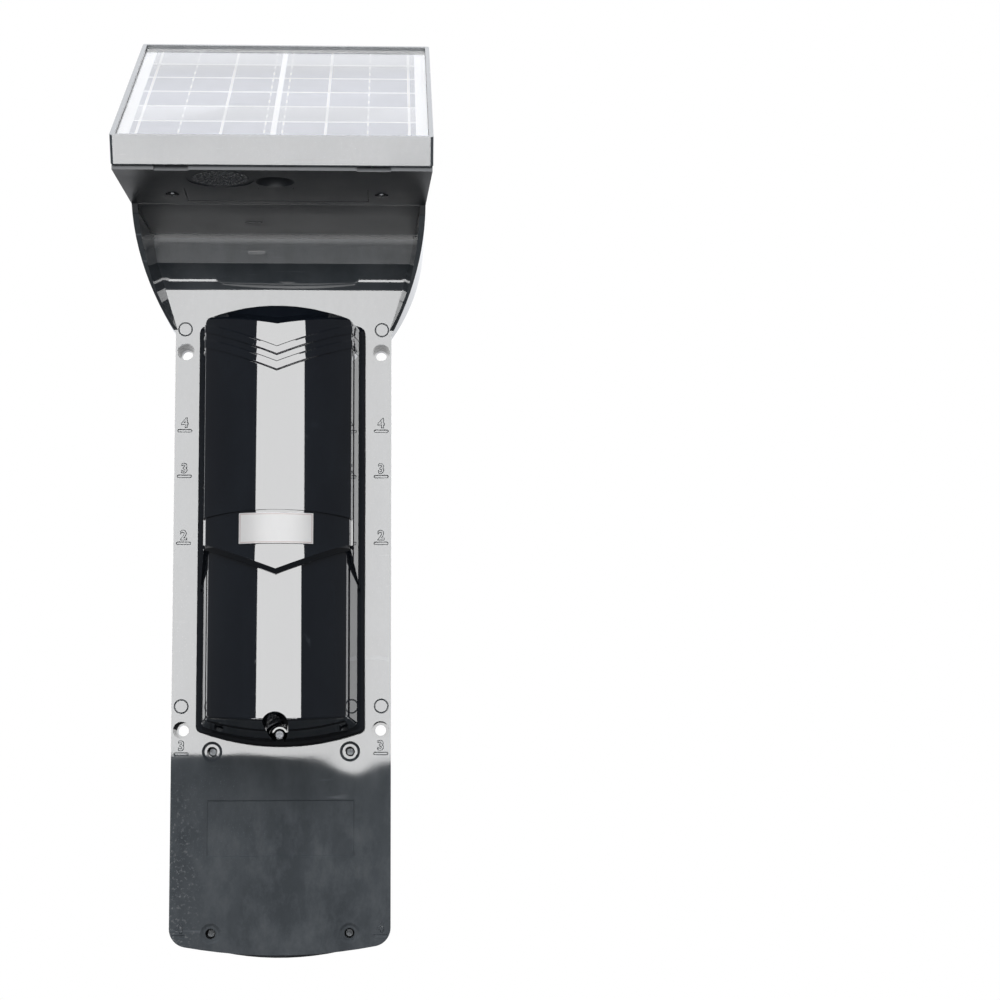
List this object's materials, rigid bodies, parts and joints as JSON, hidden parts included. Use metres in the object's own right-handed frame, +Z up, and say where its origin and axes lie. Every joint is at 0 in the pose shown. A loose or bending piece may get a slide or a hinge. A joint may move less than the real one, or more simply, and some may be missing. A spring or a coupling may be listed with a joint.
{
  "type": "infrared beam detector",
  "caption": "Wall-mounted infrared beam detector with a long board, a hooded head with a tilted solar panel and a glossy optics cover.",
  "frame": {"origin": "centre of the four wall holes, on the board's back face", "axes": "+X to the right seen from the front, -Y towards the viewer, +Z up"},
  "size_m": [0.178, 0.1831, 0.5619],
  "materials": {
    "board_plastic": "satin",
    "door_plastic": "satin",
    "cover_plastic": "gloss",
    "base_plastic": "matte",
    "panel_glass": "clear",
    "panel_cells": "satin",
    "panel_backing": "matte",
    "battery_wrap": "satin",
    "circuit_board": "satin",
    "speaker_body": "matte",
    "soft_seal": "matte",
    "screw_steel": "satin",
    "optics_plastic": "matte",
    "lens_plastic": "gloss",
    "terminal_plastic": "satin",
    "badge_plastic": "satin"
  },
  "bodies": {
    "housing": {"front_housing": "board_plastic", "rear_cover": "board_plastic", "head_shell": "board_plastic", "head_floor": "board_plastic", "battery_pack": "battery_wrap", "solar_glass": "panel_glass", "solar_cells": "panel_cells", "solar_backing": "panel_backing", "speaker": "speaker_body", "charge_board": "circuit_board", "radio_board": "circuit_board", "antenna": "soft_seal", "case_screws": "screw_steel", "base_screws": "screw_steel", "floor_screws": "screw_steel", "detector_base": "base_plastic", "cover_gasket": "soft_seal", "detector_cover": "cover_plastic", "badge_plate": "badge_plastic", "cover_screw": "screw_steel", "cable_grommet": "soft_seal", "optics_chassis": "optics_plastic", "detector_board": "circuit_board", "terminal_block": "terminal_plastic", "tamper_switch": "optics_plastic"},
    "battery_door": {"battery_door": "door_plastic"},
    "upper_turntable": {"upper_yoke": "optics_plastic"},
    "upper_optics": {"upper_lens_holder": "optics_plastic", "upper_lens": "lens_plastic", "upper_optics_board": "circuit_board"},
    "lower_turntable": {"lower_yoke": "optics_plastic"},
    "lower_optics": {"lower_lens_holder": "optics_plastic", "lower_lens": "lens_plastic", "lower_optics_board": "circuit_board"}
  },
  "joints": [
    {"name": "battery_door_hinge", "type": "hinge", "parent": "housing", "child": "battery_door", "pos_m": [0, -0.1019, 0.19], "axis": [1, 0, 0], "range_deg": [0, 95]},
    {"name": "upper_turn", "type": "hinge", "parent": "housing", "child": "upper_turntable", "pos_m": [0, -0.061, 0.018], "axis": [0, 0, 1], "range_deg": [-90, 90]},
    {"name": "upper_tilt", "type": "hinge", "parent": "upper_turntable", "child": "upper_optics", "pos_m": [0, -0.061, 0.07], "axis": [1, 0, 0], "range_deg": [-10, 10]},
    {"name": "lower_turn", "type": "hinge", "parent": "housing", "child": "lower_turntable", "pos_m": [0, -0.061, -0.1045], "axis": [0, 0, 1], "range_deg": [-90, 90]},
    {"name": "lower_tilt", "type": "hinge", "parent": "lower_turntable", "child": "lower_optics", "pos_m": [0, -0.061, -0.0545], "axis": [1, 0, 0], "range_deg": [-10, 10]}
  ]
}
